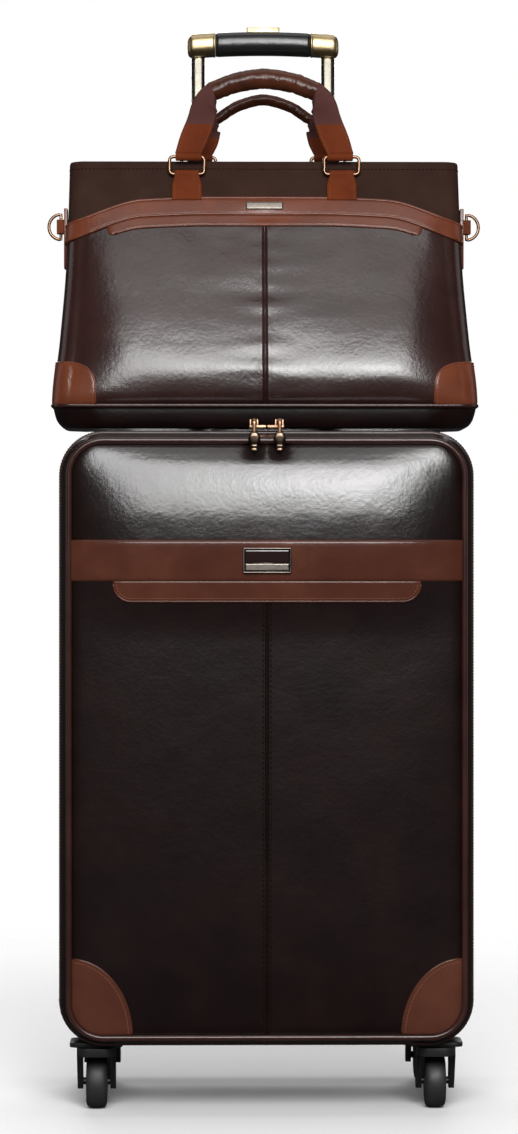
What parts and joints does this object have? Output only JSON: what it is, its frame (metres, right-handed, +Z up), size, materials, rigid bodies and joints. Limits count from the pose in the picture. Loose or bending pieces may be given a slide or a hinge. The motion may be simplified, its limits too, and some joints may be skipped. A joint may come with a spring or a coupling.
{
  "type": "rolling travel case with briefcase",
  "caption": "Upright rolling travel case with swivel wheels, pull handle and zipped lid, and a matching briefcase that stands on it with a sleeve round the handle.",
  "frame": {"origin": "on the floor, below the middle of the whole object's box", "axes": "+Z up; -Y is the front, where the lid is; +X is to the right of someone who faces the front"},
  "size_m": [0.378, 0.234, 0.932],
  "materials": {
    "dark_leather": "polished dark brown leather",
    "tan_leather": "satin tan leather",
    "grip_leather": "stitched black leather",
    "zip_tape": "woven dark brown zip tape",
    "lined_board": "board covered with beige lining",
    "black_plastic": "moulded satin black",
    "wheel_tyre": "satin black wheel",
    "handle_tube": "bright champagne anodised",
    "gold_metal": "bright pale gold",
    "antique_brass": "polished antique brass"
  },
  "bodies": {
    "case": {"case_shell": "dark_leather", "case_back_piping": "dark_leather", "case_zip_coil": "zip_tape", "back_board": "lined_board", "tube_foot": "black_plastic", "outer_tube_left": "handle_tube", "outer_tube_right": "handle_tube", "tube_bezel": "black_plastic", "carry_handle": "dark_leather", "caster_base_front_left": "black_plastic", "caster_base_front_right": "black_plastic", "caster_base_rear_left": "black_plastic", "caster_base_rear_right": "black_plastic"},
    "lid": {"lid_shell": "dark_leather", "lid_piping": "dark_leather", "lid_front_panel": "dark_leather", "lid_band": "tan_leather", "lid_pocket_trim": "tan_leather", "lid_corner_left": "tan_leather", "lid_corner_right": "tan_leather"},
    "zip_slider_left": {"zip_slider_left": "antique_brass"},
    "zip_pull_left": {"zip_pull_left": "antique_brass"},
    "zip_slider_right": {"zip_slider_right": "antique_brass"},
    "zip_pull_right": {"zip_pull_right": "antique_brass"},
    "handle_lower": {"lower_tube_left": "handle_tube", "lower_tube_right": "handle_tube"},
    "handle_upper": {"upper_tube_left": "handle_tube", "upper_tube_right": "handle_tube", "grip": "grip_leather", "grip_cap_left": "gold_metal", "grip_cap_right": "gold_metal"},
    "release_button": {"release_button": "gold_metal"},
    "caster_fork_front_left": {"caster_fork_front_left": "black_plastic"},
    "caster_wheel_front_left": {"caster_wheel_front_left": "wheel_tyre"},
    "caster_fork_front_right": {"caster_fork_front_right": "black_plastic"},
    "caster_wheel_front_right": {"caster_wheel_front_right": "wheel_tyre"},
    "caster_fork_rear_left": {"caster_fork_rear_left": "black_plastic"},
    "caster_wheel_rear_left": {"caster_wheel_rear_left": "wheel_tyre"},
    "caster_fork_rear_right": {"caster_fork_rear_right": "black_plastic"},
    "caster_wheel_rear_right": {"caster_wheel_rear_right": "wheel_tyre"},
    "bag": {"bag_shell": "dark_leather", "bag_top_panel": "dark_leather", "bag_front_pocket": "dark_leather", "bag_band": "tan_leather", "bag_sleeve": "dark_leather", "bag_tab_front_left": "tan_leather", "bag_tab_front_right": "tan_leather", "bag_tab_rear_left": "tan_leather", "bag_tab_rear_right": "tan_leather", "bag_side_tab_left": "tan_leather", "bag_side_tab_right": "tan_leather"},
    "bag_zip_slider": {"bag_zip_slider": "antique_brass"},
    "front_rings": {"front_ring_left": "antique_brass", "front_ring_right": "antique_brass"},
    "front_handle": {"front_handle": "tan_leather"},
    "rear_rings": {"rear_ring_left": "antique_brass", "rear_ring_right": "antique_brass"},
    "rear_handle": {"rear_handle": "tan_leather"},
    "d_ring_left": {"d_ring_left": "antique_brass"},
    "d_ring_right": {"d_ring_right": "antique_brass"}
  },
  "joints": [
    {"name": "lid_hinge", "type": "hinge", "parent": "case", "child": "lid", "pos_m": [-0.1736, -0.09, 0.312], "axis": [0, 0, -1], "range_deg": [0, 150]},
    {"name": "zip_slide_left", "type": "slide", "parent": "lid", "child": "zip_slider_left", "axis": [-1, 0, 0], "range_m": [0, 0.12]},
    {"name": "zip_pull_swing_left", "type": "hinge", "parent": "zip_slider_left", "child": "zip_pull_left", "pos_m": [-0.0105, -0.093, 0.5748], "axis": [-1, 0, 0], "range_deg": [0, 100]},
    {"name": "zip_slide_right", "type": "slide", "parent": "lid", "child": "zip_slider_right", "axis": [1, 0, 0], "range_m": [0, 0.12]},
    {"name": "zip_pull_swing_right", "type": "hinge", "parent": "zip_slider_right", "child": "zip_pull_right", "pos_m": [0.0105, -0.093, 0.5748], "axis": [-1, 0, 0], "range_deg": [0, 100]},
    {"name": "handle_lower_slide", "type": "slide", "parent": "case", "child": "handle_lower", "axis": [0, 0, 1], "range_m": [-0.165, 0]},
    {"name": "handle_upper_slide", "type": "slide", "parent": "handle_lower", "child": "handle_upper", "axis": [0, 0, 1], "range_m": [-0.165, 0]},
    {"name": "button_press", "type": "slide", "parent": "handle_upper", "child": "release_button", "axis": [0, 0, -1], "range_m": [0, 0.003], "stiffness_N_per_m": 800, "springref_m": -0.002},
    {"name": "caster_swivel_front_left", "type": "hinge", "parent": "case", "child": "caster_fork_front_left", "pos_m": [-0.142, -0.073, 0.05], "axis": [0, 0, 1], "continuous": true},
    {"name": "caster_roll_front_left", "type": "hinge", "parent": "caster_fork_front_left", "child": "caster_wheel_front_left", "pos_m": [-0.142, -0.059, 0.0225], "axis": [1, 0, 0], "continuous": true},
    {"name": "caster_swivel_front_right", "type": "hinge", "parent": "case", "child": "caster_fork_front_right", "pos_m": [0.142, -0.073, 0.05], "axis": [0, 0, 1], "continuous": true},
    {"name": "caster_roll_front_right", "type": "hinge", "parent": "caster_fork_front_right", "child": "caster_wheel_front_right", "pos_m": [0.142, -0.059, 0.0225], "axis": [1, 0, 0], "continuous": true},
    {"name": "caster_swivel_rear_left", "type": "hinge", "parent": "case", "child": "caster_fork_rear_left", "pos_m": [-0.142, 0.077, 0.05], "axis": [0, 0, 1], "continuous": true},
    {"name": "caster_roll_rear_left", "type": "hinge", "parent": "caster_fork_rear_left", "child": "caster_wheel_rear_left", "pos_m": [-0.142, 0.091, 0.0225], "axis": [1, 0, 0], "continuous": true},
    {"name": "caster_swivel_rear_right", "type": "hinge", "parent": "case", "child": "caster_fork_rear_right", "pos_m": [0.142, 0.077, 0.05], "axis": [0, 0, 1], "continuous": true},
    {"name": "caster_roll_rear_right", "type": "hinge", "parent": "caster_fork_rear_right", "child": "caster_wheel_rear_right", "pos_m": [0.142, 0.091, 0.0225], "axis": [1, 0, 0], "continuous": true},
    {"name": "bag_lift", "type": "slide", "parent": "case", "child": "bag", "axis": [0, 0, 1], "range_m": [0, 0.38]},
    {"name": "bag_zip_slide", "type": "slide", "parent": "bag", "child": "bag_zip_slider", "axis": [1, 0, 0], "range_m": [0, 0.24]},
    {"name": "front_rings_fold", "type": "hinge", "parent": "bag", "child": "front_rings", "pos_m": [0, 0.02618, 0.794], "axis": [1, 0, 0], "range_deg": [-5, 95]},
    {"name": "front_handle_fold", "type": "hinge", "parent": "front_rings", "child": "front_handle", "pos_m": [0, 0.02618, 0.809], "axis": [1, 0, 0], "range_deg": [-25, 45]},
    {"name": "rear_rings_fold", "type": "hinge", "parent": "bag", "child": "rear_rings", "pos_m": [0, 0.0829, 0.8], "axis": [1, 0, 0], "range_deg": [-5, 20]},
    {"name": "rear_handle_fold", "type": "hinge", "parent": "rear_rings", "child": "rear_handle", "pos_m": [0, 0.0829, 0.815], "axis": [1, 0, 0], "range_deg": [-5, 25]},
    {"name": "d_ring_swing_left", "type": "hinge", "parent": "bag", "child": "d_ring_left", "pos_m": [-0.177, 0.052, 0.7505], "axis": [0, 0, 1], "range_deg": [-60, 60]},
    {"name": "d_ring_swing_right", "type": "hinge", "parent": "bag", "child": "d_ring_right", "pos_m": [0.177, 0.052, 0.7505], "axis": [0, 0, 1], "range_deg": [-60, 60]}
  ]
}
